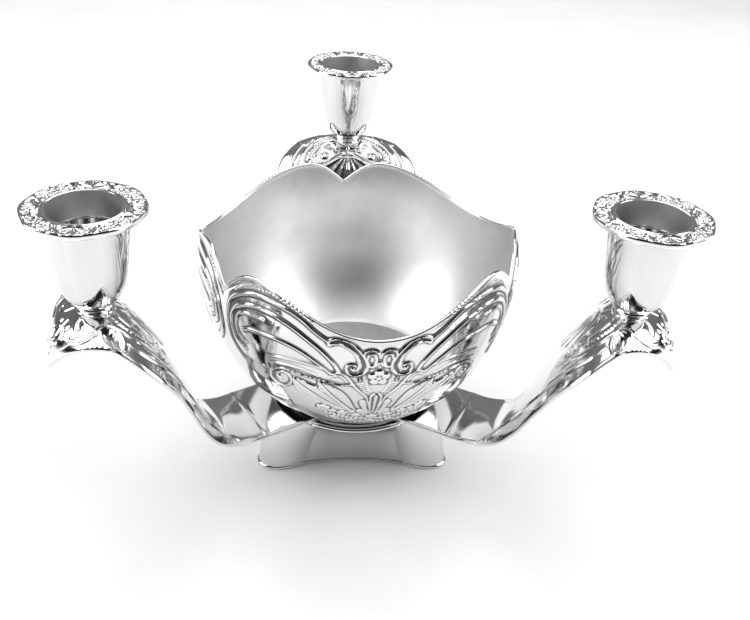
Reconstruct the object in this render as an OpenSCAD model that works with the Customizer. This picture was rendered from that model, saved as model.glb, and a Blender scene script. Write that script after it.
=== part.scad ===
// Three-light table centrepiece: a triform foot, three leaf arms with candle cups,
// and a three-panel bowl held by a stud and nut on the central axis.
// The origin is on the table under the stud, +Z up; the arms leave at 90, 210 and 330 degrees.

/* [Layout] */
// Distance from the central axis to the axis of a candle cup
cup_axis = 97.25; // [94:0.25:100]
// Turn of the bowl on its stud, away from the arms
bowl_turn = 3.5; // [-15:0.5:15]
// Thickness of the arm sheet
arm_t = 1.3; // [1:0.1:1.5]

/* [Foot] */
// Height of the foot's top face above the table
foot_h = 26; // [25.5:0.1:26]
// Radius of the foot's round top
foot_top_r = 31.5; // [30:0.5:33]
// Distance from the axis to the end of a foot lobe
foot_lobe_r = 41.6; // [39:0.1:44]
// Distance from the axis to the middle of a side, at the table
foot_side_r = 18.4; // [17:0.1:22]
// Thickness of the foot sheet
foot_t = 1.2; // [1:0.1:1.5]

/* [Arm] */
// Half the width of the strap near the foot
strap_w = 14.7; // [13:0.1:16]
// Half the width of the leaf at its broadest
leaf_w = 31; // [28:0.5:32]

/* [Bowl] */
// Radius of the bowl at its broadest, on the middle of a panel
bowl_r = 58.5; // [57:0.1:60]
// Thickness of the bowl wall
bowl_t = 1; // [0.8:0.1:1.4]
// Height of the rim at the middle of a panel
rim_mid = 83; // [80:0.5:88]
// Height of the rim at its shoulders, beside each notch
rim_peak = 95; // [93:0.1:98]
// Height of the bottom of each rim notch
rim_notch = 86.5; // [82:0.5:90]

/* [Candle cups] */
// Radius of the socket that takes the candle
socket_r = 11.33; // [11.1:0.01:11.5]
// Radius of the nozzle's flange
flange_r = 18.5; // [17:0.1:19]
// Height of the flange above the table
flange_z = 123.3; // [122.8:0.1:124]
// Length of the sleeve under the flange
sleeve_l = 8; // [6:0.5:9]

/* [Hidden] */
$fn = 96;

back_az = 90;
left_az = 210;
right_az = 330;

// Stack of flat faces on the central axis
arm_z = foot_h;
hub_z = arm_z + arm_t;
hub_t = 1.3;
seat_z = hub_z + hub_t;
seat_t = 1.7;
seat_r = 20;
bowl_z = seat_z + seat_t;
floor_z = bowl_z + 1.2;
floor_t = 0.8;
floor_r = 32.4;
hub_r = 27;
stud_r = 3;
stud_hole_r = 3.08;
stud_bottom = 14;
washer_t = 1.2;
washer_r = 7;
nut_h = 5;
nut_r = 5.8;

// Foot surface: three concave sides, with a lobe between creases that close in towards the table
foot_side_arc = 72;
foot_flare = 0.45;
foot_side_flare = 0.8;
crease_top = 35.5;
crease_low = 17;
crease_bend = 0.7;
foot_rows = 9;
foot_cols = 40;
foot_flat_r = 19;

// Arm stations along the spine: distance from the axis, height, half width and arch
crease_r = 46;
arm_stations = [
    [46, arm_z + arm_t, strap_w, 0],
    [52.5, 27.9, strap_w, 0.4],
    [58.5, 30, 15.2, 1],
    [63.5, 34.8, 16.8, 2],
    [67.3, 42, 19, 3],
    [70.5, 51, leaf_w * 0.73, 4],
    [73.8, 61, leaf_w * 0.86, 5],
    [78.3, 71.5, leaf_w * 0.97, 5.5],
    [83.8, 80.3, leaf_w, 6],
    [90.3, 87, leaf_w * 0.91, 6],
    [cup_axis, 89.8, leaf_w * 0.77, 4.5],
    [103, 89, 19, 3.4],
    [108.2, 85.6, 14, 2.4],
    [112.2, 80, 7.5, 1.2],
    [114.6, 73, 1, 0]
];
arch_power = 2.3;
arm_steps = 3;
arm_across = 12;
rivet_at = 23;
rivet_r = 1.5;
rivet_head_r = 2.3;
rivet_head_h = 1;
wedge_gap = 0.15;
root_r = 5;

// Bowl surface: an ellipse below its broadest height, almost upright above it
bowl_wide_z = 81;
bowl_depth = 61.4;
bowl_lean = 0.04;
crease_depth = 0.04;
shoulder_angle = 45;
rim_power = 2.1;
bowl_step = 3;
bowl_rows = 12;

// Cup and fastener heights
seat_boss_z = 90.3;
seat_boss_r = 5.9;
boss_under_z = 87.2;
cup_top_z = flange_z - 0.82;
cup_mouth_r = socket_r + 0.56;
sleeve_r = socket_r + 0.5;
mouth_l = sleeve_l + 0.6;
thread_r = 2;
thread_top_z = 96.5;
screw_hole_r = 2.2;
screw_head_r = 3.6;
screw_head_h = 2.2;
cup_washer_t = 0.6;

silver = [0.82, 0.82, 0.83];
satin = [0.7, 0.7, 0.71];
steel = [0.55, 0.55, 0.57];

// Catmull-Rom point on a list of stations, at a whole and part index
function station(list, i) = list[max(0, min(len(list) - 1, i))];
function spline(list, i, f) =
    let (a = station(list, i - 1), b = station(list, i), c = station(list, i + 1), d = station(list, i + 2))
    b + 0.5 * f * ((c - a) + f * ((2 * a - 5 * b + 4 * c - d) + f * (3 * (b - c) + d - a)));

function arm_row(k) = spline(arm_stations, floor(k / arm_steps), (k % arm_steps) / arm_steps);
arm_rows = (len(arm_stations) - 1) * arm_steps;

// Unit normal of the spine in its upright plane, towards the bowl
function arm_normal(k) =
    let (a = arm_row(max(0, k - 1)), b = arm_row(min(arm_rows, k + 1)), d = [b[0] - a[0], b[1] - a[1]])
    [-d[1], d[0]] / norm(d);

// Point of the leaf sheet; side is 0 for the top face and 1 for the underside
function arm_point(k, v, side) =
    let (s = arm_row(k), n = arm_normal(k), down = s[3] * pow(abs(v), arch_power) + side * arm_t)
    [s[0] - n[0] * down, v * s[2], s[1] - n[1] * down];

// Sheet between cross-sections, each of which runs along its top face and back along its underside
module sheet(sections) {
    m = len(sections[0]);
    end = (len(sections) - 1) * m;
    sides = [
        for (i = [0:m:end - m]) for (j = [0:m - 1])
            each let (a = i + j, b = i + (j + 1) % m) [[a, b, b + m], [a, b + m, a + m]]
    ];
    caps = [
        for (j = [0:m / 2 - 2])
            each let (k = m - 1 - j)
                [[k, k - 1, j + 1], [k, j + 1, j], [end + j, end + j + 1, end + k - 1], [end + j, end + k - 1, end + k]]
    ];
    polyhedron([for (section = sections) for (p = section) p], concat(sides, caps));
}

// Solid swept round the axis by outlines of points, the last joined to the first
module looped(outlines) {
    m = len(outlines[0]);
    n = len(outlines);
    sides = [
        for (i = [0:n - 1]) for (j = [0:m - 1])
            each let (a = i * m, b = ((i + 1) % n) * m, k = (j + 1) % m)
                [[a + j, a + k, b + k], [a + j, b + k, b + j]]
    ];
    polyhedron([for (outline = outlines) for (p = outline) p], sides);
}

function polar(r, a, z) = [r * cos(a), r * sin(a), z];

// Foot

// Angle between a lobe and its crease; t is 0 under the top plate and 1 at the table
function crease_at(t) = crease_top + (crease_low - crease_top) * pow(t, crease_bend);

// Angle from a lobe of a column of points; u is 0 on the lobe, 0.5 on its crease and 1 on the side's middle
function foot_angle(u, t) = let (w = crease_at(t)) u < 0.5 ? 2 * u * w : w + (60 - w) * (2 * u - 1);

// Distance from the axis to a concave side, at an angle from a lobe
function foot_side(f, t) =
    let (
        l = foot_side_r + foot_side_arc,
        low = l * cos(60 - f) - sqrt(pow(foot_side_arc, 2) - pow(l * sin(60 - f), 2))
    )
    foot_top_r + (low - foot_top_r) * pow(t, foot_side_flare);

// Distance from the axis to the foot's face
function foot_r(f, t) =
    let (
        w = crease_at(t),
        side = foot_side(max(f, w), t),
        tip = foot_top_r + (foot_lobe_r - foot_top_r) * pow(t, foot_flare)
    )
    side + (tip - side) * max(0, 1 - pow(f / w, 2));

// Point of the foot's wall, set in from its face
function foot_point(u, t, lobe, inset) =
    let (f = foot_angle(abs(u), t), a = lobe + (u < 0 ? -f : f))
    polar(foot_r(f, t) - inset, a, (foot_h - foot_t) * (1 - t));

module foot() {
    wall_h = foot_h - foot_t;
    ts = [for (i = [0:foot_rows]) 1 - i / foot_rows];
    outlines = [
        for (lobe = [back_az, left_az, right_az]) for (k = [0:foot_cols - 1])
            let (u = 2 * k / foot_cols - 1)
            let (a = lobe + sign(u) * foot_angle(abs(u), 0))
            concat(
                [for (t = ts) foot_point(u, t, lobe, 0)],
                [polar(foot_top_r - foot_t, a, foot_h), polar(foot_flat_r, a, foot_h), polar(foot_flat_r, a, wall_h)],
                [for (i = [foot_rows:-1:0]) foot_point(u, ts[i], lobe, foot_t)]
            )
    ];
    color(silver) difference() {
        union() {
            looped(outlines);
            translate([0, 0, wall_h]) cylinder(r = foot_flat_r + 1, h = foot_t);
        }
        translate([0, 0, wall_h - 1]) cylinder(r = stud_hole_r, h = foot_t + 2);
        for (az = [back_az, left_az, right_az]) rotate(az)
            translate([rivet_at, 0, wall_h - 1]) cylinder(r = rivet_r, h = foot_t + 2);
    }
}

// Arms

module strap() {
    wide = strap_w / tan(60) + wedge_gap;
    translate([0, 0, arm_z]) linear_extrude(arm_t) difference() {
        polygon([
            [wedge_gap * 2, 0], [wide, -strap_w], [crease_r + 0.6, -strap_w],
            [crease_r + 0.6, strap_w], [wide, strap_w]
        ]);
        circle(r = root_r);
    }
}

module leaf() {
    vs = [for (i = [0:arm_across]) 2 * i / arm_across - 1];
    sheet([
        for (k = [0:arm_rows])
            concat([for (v = vs) arm_point(k, v, 0)], [for (i = [arm_across:-1:0]) arm_point(k, vs[i], 1)])
    ]);
}

module arm(az) {
    color(silver) rotate(az) difference() {
        union() {
            strap();
            leaf();
            translate([cup_axis, 0, boss_under_z]) cylinder(r = seat_boss_r, h = seat_boss_z - boss_under_z);
        }
        translate([cup_axis, 0, boss_under_z - 2]) cylinder(r = screw_hole_r, h = 8);
        translate([rivet_at, 0, arm_z - 1]) cylinder(r = rivet_r, h = arm_t + 2);
    }
}

module hub_plate() {
    color(steel) translate([0, 0, hub_z]) difference() {
        cylinder(r = hub_r, h = hub_t);
        translate([0, 0, -1]) cylinder(r = stud_hole_r, h = hub_t + 2);
        for (az = [back_az, left_az, right_az]) rotate(az)
            translate([rivet_at, 0, -1]) cylinder(r = rivet_r, h = hub_t + 2);
    }
}

module arm_rivets() {
    bottom = foot_h - foot_t;
    color(steel) for (az = [back_az, left_az, right_az]) rotate(az) translate([rivet_at, 0, 0]) {
        translate([0, 0, bottom - rivet_head_h]) cylinder(r = rivet_head_r, h = rivet_head_h);
        translate([0, 0, bottom]) cylinder(r = rivet_r, h = seat_z - bottom);
        translate([0, 0, seat_z]) cylinder(r = rivet_head_r, h = rivet_head_h);
    }
}

// Candle cups and their fasteners

module cup(az) {
    color(silver) rotate(az) translate([cup_axis, 0, 0]) difference() {
        rotate_extrude() polygon([
            [0, seat_boss_z], [seat_boss_r, seat_boss_z], [seat_boss_r, seat_boss_z + 0.9], [6.6, 92],
            [8.4, 94], [9.7, 96.8], [10.6, 100], [11.3, 104], [11.9, 109], [12.5, 114], [12.95, 118],
            [13.3, cup_top_z], [cup_mouth_r, cup_top_z], [cup_mouth_r, cup_top_z - mouth_l],
            [11.3, cup_top_z - mouth_l], [11, 109], [10.4, 104], [9.7, 100], [8.8, 98], [7.4, 97.4], [0, 97.4]
        ]);
        translate([0, 0, seat_boss_z - 1]) cylinder(r = thread_r, h = thread_top_z - seat_boss_z + 1);
    }
}

module cup_washer(az) {
    color(steel) rotate(az) translate([cup_axis, 0, boss_under_z - cup_washer_t]) difference() {
        cylinder(r = screw_head_r + 0.6, h = cup_washer_t);
        translate([0, 0, -1]) cylinder(r = screw_hole_r, h = 3);
    }
}

module cup_screw(az) {
    under = boss_under_z - cup_washer_t;
    color(steel) rotate(az) translate([cup_axis, 0, under]) difference() {
        union() {
            translate([0, 0, -screw_head_h]) cylinder(r = screw_head_r, h = screw_head_h);
            cylinder(r = thread_r, h = thread_top_z - 0.6 - under);
        }
        translate([-screw_head_r - 1, -0.5, -screw_head_h - 1]) cube([2 * screw_head_r + 2, 1, 2]);
    }
}

module nozzle(az) {
    plate = 0.8;
    lip = 1.9;
    color(silver) rotate(az) translate([cup_axis, 0, flange_z]) rotate_extrude() polygon([
        [socket_r, 0], [flange_r - 0.6, 0], [flange_r, -0.5], [flange_r, -lip], [flange_r - plate, -lip],
        [flange_r - plate, -plate], [sleeve_r, -plate], [sleeve_r, -plate - sleeve_l],
        [socket_r, -plate - sleeve_l]
    ]);
}

// Bowl

// Height of the rim at an angle from a notch
function rim_z(a) =
    let (f = abs((a + 60) % 120 - 60), side = 60 - f)
    side < shoulder_angle
        ? rim_mid + (rim_peak - rim_mid) * pow(sin(90 * side / shoulder_angle), rim_power)
        : rim_notch + (rim_peak - rim_notch) * sin(90 * f / (60 - shoulder_angle));

// Distance from the axis to the bowl's face, set in by a wall thickness
function bowl_face(a, z, inset) =
    let (
        f = abs((a + 60) % 120 - 60),
        up = max(0, z - bowl_wide_z) / (rim_peak - bowl_wide_z),
        down = max(0, bowl_wide_z - z) / (bowl_depth - inset),
        fold = crease_depth * (1 - sin(1.5 * f)) * min(1, (z - bowl_z) / 30)
    )
    ((bowl_r - inset) * sqrt(1 - pow(down, 2)) - bowl_lean * bowl_r * pow(up, 2)) * (1 - fold);

module bowl() {
    rows = [for (i = [0:bowl_rows]) pow(i / bowl_rows, 1.4)];
    flat_r = 30;
    outlines = [
        for (a = [0:bowl_step:359])
            let (rim = rim_z(a))
            concat(
                [polar(flat_r, a, bowl_z)],
                [for (s = rows) let (z = bowl_z + (rim - bowl_z) * s) polar(bowl_face(a, z, 0), a, z)],
                [for (i = [bowl_rows:-1:0])
                    let (z = floor_z + (rim - floor_z) * rows[i]) polar(bowl_face(a, z, bowl_t), a, z)],
                [polar(flat_r, a, floor_z)]
            )
    ];
    color(satin) rotate(back_az + bowl_turn) difference() {
        union() {
            looped(outlines);
            translate([0, 0, bowl_z]) cylinder(r = flat_r + 1, h = floor_z - bowl_z);
        }
        translate([0, 0, bowl_z - 1]) cylinder(r = stud_r, h = floor_z - bowl_z + 2);
    }
}

module bowl_floor() {
    color(satin) translate([0, 0, floor_z]) cylinder(r = floor_r, h = floor_t);
}

module bowl_seat() {
    color(steel) translate([0, 0, seat_z]) difference() {
        cylinder(r = seat_r, h = seat_t);
        translate([0, 0, -1]) cylinder(r = seat_r - 7, h = seat_t + 2);
    }
}

module centre_stud() {
    color(steel) translate([0, 0, stud_bottom]) cylinder(r = stud_r, h = floor_z - stud_bottom);
}

module stud_washer() {
    color(steel) translate([0, 0, foot_h - foot_t - washer_t]) difference() {
        cylinder(r = washer_r, h = washer_t);
        translate([0, 0, -1]) cylinder(r = stud_hole_r, h = washer_t + 2);
    }
}

module stud_nut() {
    color(steel) translate([0, 0, foot_h - foot_t - washer_t - nut_h]) difference() {
        cylinder(r = nut_r, h = nut_h, $fn = 6);
        translate([0, 0, -1]) cylinder(r = stud_r, h = nut_h + 2);
    }
}

foot();
arm(back_az);  // arm_back
arm(left_az);  // arm_left
arm(right_az);  // arm_right
hub_plate();
arm_rivets();
cup(back_az);  // cup_back
cup(left_az);  // cup_left
cup(right_az);  // cup_right
cup_washer(back_az);  // cup_washer_back
cup_washer(left_az);  // cup_washer_left
cup_washer(right_az);  // cup_washer_right
cup_screw(back_az);  // cup_screw_back
cup_screw(left_az);  // cup_screw_left
cup_screw(right_az);  // cup_screw_right
nozzle(back_az);  // nozzle_back
nozzle(left_az);  // nozzle_left
nozzle(right_az);  // nozzle_right
bowl();
bowl_floor();
bowl_seat();
centre_stud();
stud_washer();
stud_nut();
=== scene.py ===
"""Looks for a three-light silver table centrepiece.

Three stamped leaf arms on a triform foot carry polished candle cups round a three-panel bowl with
chased butterfly wings. Lengths are in millimetres until a mesh is made; meshes are in metres.
"""

import logging
import math
from dataclasses import dataclass
from enum import Enum
from typing import Callable, Iterable, Sequence

import bmesh
import bpy
import numpy as np
from mathutils import Matrix, Vector


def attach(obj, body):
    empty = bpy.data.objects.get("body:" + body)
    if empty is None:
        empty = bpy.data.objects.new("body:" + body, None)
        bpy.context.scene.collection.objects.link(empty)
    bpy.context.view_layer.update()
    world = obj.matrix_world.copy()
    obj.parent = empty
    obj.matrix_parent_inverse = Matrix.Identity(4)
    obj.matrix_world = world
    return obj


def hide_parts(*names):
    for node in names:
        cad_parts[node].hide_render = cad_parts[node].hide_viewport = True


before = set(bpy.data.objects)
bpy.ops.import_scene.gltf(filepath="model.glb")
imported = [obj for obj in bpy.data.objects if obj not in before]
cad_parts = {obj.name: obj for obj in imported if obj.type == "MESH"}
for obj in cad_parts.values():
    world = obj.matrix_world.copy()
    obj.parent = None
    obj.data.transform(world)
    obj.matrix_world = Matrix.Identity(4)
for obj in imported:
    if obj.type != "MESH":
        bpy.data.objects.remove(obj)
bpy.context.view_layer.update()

MM = 0.001
log = logging.getLogger("centrepiece")

# Azimuths of the arms, and of the middles of the bowl's panels before the bowl is turned
ARMS = {"back": 90.0, "left": 210.0, "right": 330.0}
PANELS = {"back_right": 30.0, "left": 150.0, "front": 270.0}

Points = Sequence[Sequence[float]]


# ---------------------------------------------------------------- curves and relief


def smooth_path(points: Points, closed: bool = False, step: float = 0.25) -> np.ndarray:
    """Runs a Catmull-Rom curve through the points.

    Args:
        points: the corners, two or more numbers each.
        closed: whether the last point joins the first.
        step: the spacing of the points returned, about.

    Returns:
        The points of the curve, one row each.
    """
    p = np.asarray(points, float)
    n = len(p)
    spans = n if closed else n - 1
    out = []
    for i in range(spans):
        if closed:
            a, b, c, d = (p[(i + k) % n] for k in (-1, 0, 1, 2))
        else:
            a, b, c, d = (p[min(max(i + k, 0), n - 1)] for k in (-1, 0, 1, 2))
        count = max(2, int(np.linalg.norm(c - b) / step) + 1)
        t = np.linspace(0, 1, count, endpoint=False)[:, None]
        out.append(b + 0.5 * t * ((c - a) + t * ((2 * a - 5 * b + 4 * c - d) + t * (3 * (b - c) + d - a))))
    if not closed:
        out.append(p[-1:])
    return np.concatenate(out)


def ring(x: float, y: float, rx: float, ry: float, count: int = 10) -> list[tuple[float, float]]:
    """Points of an ellipse, for a closed stroke."""
    turns = [2 * math.pi * i / count for i in range(count)]
    return [(x + rx * math.cos(a), y + ry * math.sin(a)) for a in turns]


class Mark(Enum):
    """What a stroke leaves in the sheet."""

    RIDGE = "ridge"
    GROOVE = "groove"


class Relief:
    """Height over a flat blank, raised stroke by stroke as a chaser works."""

    def __init__(self, low: tuple[float, float], high: tuple[float, float], pitch: float = 0.14):
        """Starts with a level blank.

        Args:
            low: the blank's lowest corner.
            high: the blank's highest corner.
            pitch: the spacing of the height samples.
        """
        self.low = np.array(low, float)
        self.pitch = pitch
        count = np.ceil((np.array(high) - self.low) / pitch).astype(int) + 1
        self.height = np.zeros(count)
        self.sunk = np.zeros(count)
        self.cavity = np.zeros(count)

    def _window(self, low: np.ndarray, high: np.ndarray) -> tuple[slice, slice, np.ndarray, np.ndarray] | None:
        """The samples in a box, as two slices and the two coordinates of each sample.

        Args:
            low: the box's lowest corner.
            high: the box's highest corner.

        Returns:
            The rows, the columns and the two coordinates, or None outside the blank.
        """
        i = np.maximum(np.floor((low - self.low) / self.pitch).astype(int), 0)
        j = np.minimum(np.ceil((high - self.low) / self.pitch).astype(int) + 1, self.height.shape)
        if (j <= i).any():
            return None
        x = self.low[0] + self.pitch * np.arange(i[0], j[0])[:, None]
        y = self.low[1] + self.pitch * np.arange(i[1], j[1])[None, :]
        return slice(i[0], j[0]), slice(i[1], j[1]), x, y

    def stroke(self, points: Points, width: float, height: float, end_width: float | None = None,
               closed: bool = False, mark: Mark = Mark.RIDGE) -> None:
        """Raises a ridge along a curve, or sinks a groove.

        Args:
            points: the curve's corners.
            width: the full width at the start.
            height: how far the crown stands up, or how deep the groove goes.
            end_width: the full width at the end, the same as at the start if left out.
            closed: whether the curve joins up.
            mark: a ridge or a groove.
        """
        line = smooth_path(points, closed)
        if closed:
            line = np.concatenate([line, line[:1]])
        widths = np.linspace(width, width if end_width is None else end_width, len(line)) / 2
        target = self.sunk if mark is Mark.GROOVE else self.height
        for a, b, half in zip(line[:-1], line[1:], widths):
            window = self._window(np.minimum(a, b) - half, np.maximum(a, b) + half)
            if window is None:
                continue
            rows, cols, x, y = window
            away = self._distance(x, y, a, b) / half
            shape = np.sqrt(np.clip(1 - away**2, 0, 1)) * np.clip(4 * (1 - away), 0, 1) ** 0.5
            target[rows, cols] = np.maximum(target[rows, cols], height * shape)

    @staticmethod
    def _distance(x: np.ndarray, y: np.ndarray, a: np.ndarray, b: np.ndarray) -> np.ndarray:
        """Distance of each sample from the line between two points."""
        run = b - a
        along = np.clip(((x - a[0]) * run[0] + (y - a[1]) * run[1]) / max(run @ run, 1e-9), 0, 1)
        return np.hypot(x - a[0] - along * run[0], y - a[1] - along * run[1])

    def strokes(self, rows: Iterable[tuple], mark: Mark = Mark.RIDGE) -> None:
        """Makes a stroke of each (points, width, height) row; an end width may follow."""
        for row in rows:
            self.stroke(*row, mark=mark)

    def bead(self, x: float, y: float, radius: float, height: float) -> None:
        """Raises one round bead."""
        self.stroke([(x - 0.01, y), (x + 0.01, y)], 2 * radius, height)

    def beads(self, points: Points, radius: float, height: float, gap: float) -> None:
        """Raises a row of beads along a curve, gap apart.

        Args:
            points: the curve's corners.
            radius: the radius of a bead.
            height: how far a bead stands up.
            gap: the spacing of the beads.
        """
        line = smooth_path(points)
        run = np.concatenate([[0], np.cumsum(np.linalg.norm(np.diff(line, axis=0), axis=1))])
        for at in np.arange(0, run[-1], gap):
            self.bead(*(np.interp(at, run, line[:, k]) for k in (0, 1)), radius, height)

    def petal(self, outline: Points, height: float, shoulder: float, rim: float, rim_height: float) -> None:
        """Raises the inside of an outline and a thin ridge along it."""
        self.pillow(outline, height, shoulder)
        self.stroke(outline, rim, rim_height, closed=True)

    def blossom(self, x: float, y: float, radius: float, petals: int, height: float) -> None:
        """Raises a small flower of round petals about a bead.

        Args:
            x: where the middle is, first coordinate.
            y: where the middle is, second coordinate.
            radius: the flower's radius.
            petals: how many petals.
            height: how far the petals stand up.
        """
        for k in range(petals):
            turn = math.pi / 2 + 2 * math.pi * k / petals
            self.bead(x + 0.62 * radius * math.cos(turn), y + 0.62 * radius * math.sin(turn),
                      0.46 * radius, height)
        self.bead(x, y, 0.3 * radius, 1.25 * height)

    def pillow(self, outline: Points, height: float, shoulder: float) -> None:
        """Raises the inside of a closed outline, with rounded edges.

        Args:
            outline: the corners of the outline.
            height: the height away from the edge.
            shoulder: how far in from the edge the full height is reached.
        """
        line = smooth_path(outline, closed=True, step=0.5)
        window = self._window(line.min(0), line.max(0))
        if window is None:
            return
        rows, cols, x, y = window
        inside = np.zeros(np.broadcast(x, y).shape, bool)
        away = np.full(inside.shape, np.inf)
        for a, b in zip(line, np.roll(line, -1, axis=0)):
            run = b - a
            if abs(run[1]) > 1e-9:
                inside ^= ((a[1] > y) != (b[1] > y)) & (x < a[0] + run[0] * (y - a[1]) / run[1])
            away = np.minimum(away, self._distance(x, y, a, b))
        rise = np.clip(away / shoulder, 0, 1)
        lift = np.where(inside, height * np.sqrt(1 - (1 - rise) ** 2), 0)
        self.height[rows, cols] = np.maximum(self.height[rows, cols], lift)

    def settle(self, softness: int = 1, reach: int = 5, depth: float = 0.16) -> None:
        """Rounds the work off and finds its hollows.

        Args:
            softness: how many samples the tool marks are smoothed over.
            reach: how many samples a hollow looks about itself.
            depth: the depth below its surroundings at which a hollow is fully dark.
        """
        level = self._blur(self.height - self.sunk, softness)
        self.height = level
        self.cavity = np.clip((self._blur(self._blur(level, reach), reach) - level) / depth, 0, 1)

    @staticmethod
    def _blur(field_: np.ndarray, reach: int) -> np.ndarray:
        """Box blur over reach samples each way, on both axes.

        Args:
            field_: the values over the blank.
            reach: how many samples each way.

        Returns:
            The smoothed values.
        """
        out = field_
        for axis in (0, 1):
            pad = [(reach + 1, reach) if a == axis else (0, 0) for a in (0, 1)]
            total = np.cumsum(np.pad(out, pad, mode="edge"), axis=axis)
            size = out.shape[axis]
            high = np.take(total, range(2 * reach + 1, 2 * reach + 1 + size), axis)
            out = (high - np.take(total, range(size), axis)) / (2 * reach + 1)
        return out

    def read(self, x: np.ndarray, y: np.ndarray) -> tuple[np.ndarray, np.ndarray]:
        """Height and cavity at points of the blank.

        Args:
            x: the first coordinate of each point.
            y: the second coordinate of each point.

        Returns:
            The heights and the cavities, each shaped like x.
        """
        u = np.clip((x - self.low[0]) / self.pitch, 0, self.height.shape[0] - 1.001)
        v = np.clip((y - self.low[1]) / self.pitch, 0, self.height.shape[1] - 1.001)
        i, j = u.astype(int), v.astype(int)
        f, g = u - i, v - j
        return tuple(
            m[i, j] * (1 - f) * (1 - g) + m[i + 1, j] * f * (1 - g)
            + m[i, j + 1] * (1 - f) * g + m[i + 1, j + 1] * f * g
            for m in (self.height, self.cavity)
        )


# ---------------------------------------------------------------- meshes


def surface_normals(grid: np.ndarray) -> np.ndarray:
    """Unit normals of a grid of points, from the cross product of its two directions."""
    normal = np.cross(np.gradient(grid, axis=1), np.gradient(grid, axis=0))
    return normal / np.maximum(np.linalg.norm(normal, axis=-1, keepdims=True), 1e-9)


def grid_faces(rows: int, cols: int, wrap: bool = True, loop: bool = False) -> np.ndarray:
    """Quads over a grid of points numbered row by row.

    Args:
        rows: how many rows.
        cols: how many points in a row.
        wrap: whether each row's last point joins its first.
        loop: whether the last row joins the first.

    Returns:
        One row of four point numbers for each quad.
    """
    i = np.arange(rows if loop else rows - 1)[:, None]
    j = np.arange(cols if wrap else cols - 1)[None, :]
    k, n = (j + 1) % cols, (i + 1) % rows
    quads = np.stack(np.broadcast_arrays(i * cols + j, i * cols + k, n * cols + k, n * cols + j), -1)
    return quads.reshape(-1, 4)


def spun(points: np.ndarray, degrees: float) -> np.ndarray:
    """Points turned about the upright axis, one row each."""
    a = math.radians(degrees)
    return points @ np.array([[math.cos(a), math.sin(a), 0], [-math.sin(a), math.cos(a), 0], [0, 0, 1]])


def make_mesh(name: str, points: np.ndarray, faces: Iterable[Sequence[int]],
              materials: Sequence[bpy.types.Material], finish: np.ndarray | None = None,
              cavity: np.ndarray | None = None) -> bpy.types.Object:
    """Makes a smooth mesh object from points in millimetres.

    Args:
        name: the object's name.
        points: the points, one row each.
        faces: the point numbers of each face.
        materials: the materials, in slot order.
        finish: the slot number of each face, 0 if left out.
        cavity: how deep in a hollow each point is, 0 to 1.

    Returns:
        The new object.
    """
    mesh = bpy.data.meshes.new(name)
    mesh.from_pydata((points * MM).tolist(), [], [list(map(int, f)) for f in faces])
    for material in materials:
        mesh.materials.append(material)
    if finish is not None:
        mesh.polygons.foreach_set("material_index", finish.astype(np.int32))
    mesh.polygons.foreach_set("use_smooth", np.ones(len(mesh.polygons), bool))
    dark = mesh.attributes.new("cavity", "FLOAT", "POINT")
    dark.data.foreach_set("value", (np.zeros(len(points)) if cavity is None else cavity).astype(np.float32))
    mesh.update()
    thing = bpy.data.objects.new(name, mesh)
    bpy.context.scene.collection.objects.link(thing)
    return thing


def soften_normals(thing: bpy.types.Object, degrees: float) -> None:
    """Keeps edges sharper than an angle crisp and shades the rest smoothly."""
    thing.data.set_sharp_from_angle(angle=math.radians(degrees))


def turned(name: str, profile: np.ndarray, centre: tuple[float, float], material: bpy.types.Material,
           sides: int = 96) -> bpy.types.Object:
    """Turns a closed profile about an upright axis.

    Args:
        name: the object's name.
        profile: the (radius, height) points, anticlockwise, the last joined to the first.
        centre: where the axis stands.
        material: the finish.
        sides: how many steps round the axis.

    Returns:
        The new object.
    """
    turn = np.linspace(0, 2 * math.pi, sides, endpoint=False)[:, None]
    grid = np.stack([
        centre[0] + profile[:, 0] * np.cos(turn), centre[1] + profile[:, 0] * np.sin(turn),
        np.broadcast_to(profile[:, 1], (sides, len(profile))),
    ], -1)
    quads = grid_faces(sides, len(profile), loop=True)[:, ::-1]
    thing = make_mesh(name, grid.reshape(-1, 3), quads, [material])
    weld(thing)
    soften_normals(thing, 38)
    return thing


def weld(thing: bpy.types.Object) -> None:
    """Joins points that lie on each other and drops the faces that have no area.

    Args:
        thing: the mesh object, changed in place.
    """
    work = bmesh.new()
    work.from_mesh(thing.data)
    bmesh.ops.remove_doubles(work, verts=work.verts, dist=0.00001)
    bmesh.ops.dissolve_degenerate(work, edges=work.edges, dist=0.000001)
    bmesh.ops.recalc_face_normals(work, faces=work.faces)
    work.to_mesh(thing.data)
    work.free()


# ---------------------------------------------------------------- shader maths


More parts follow.
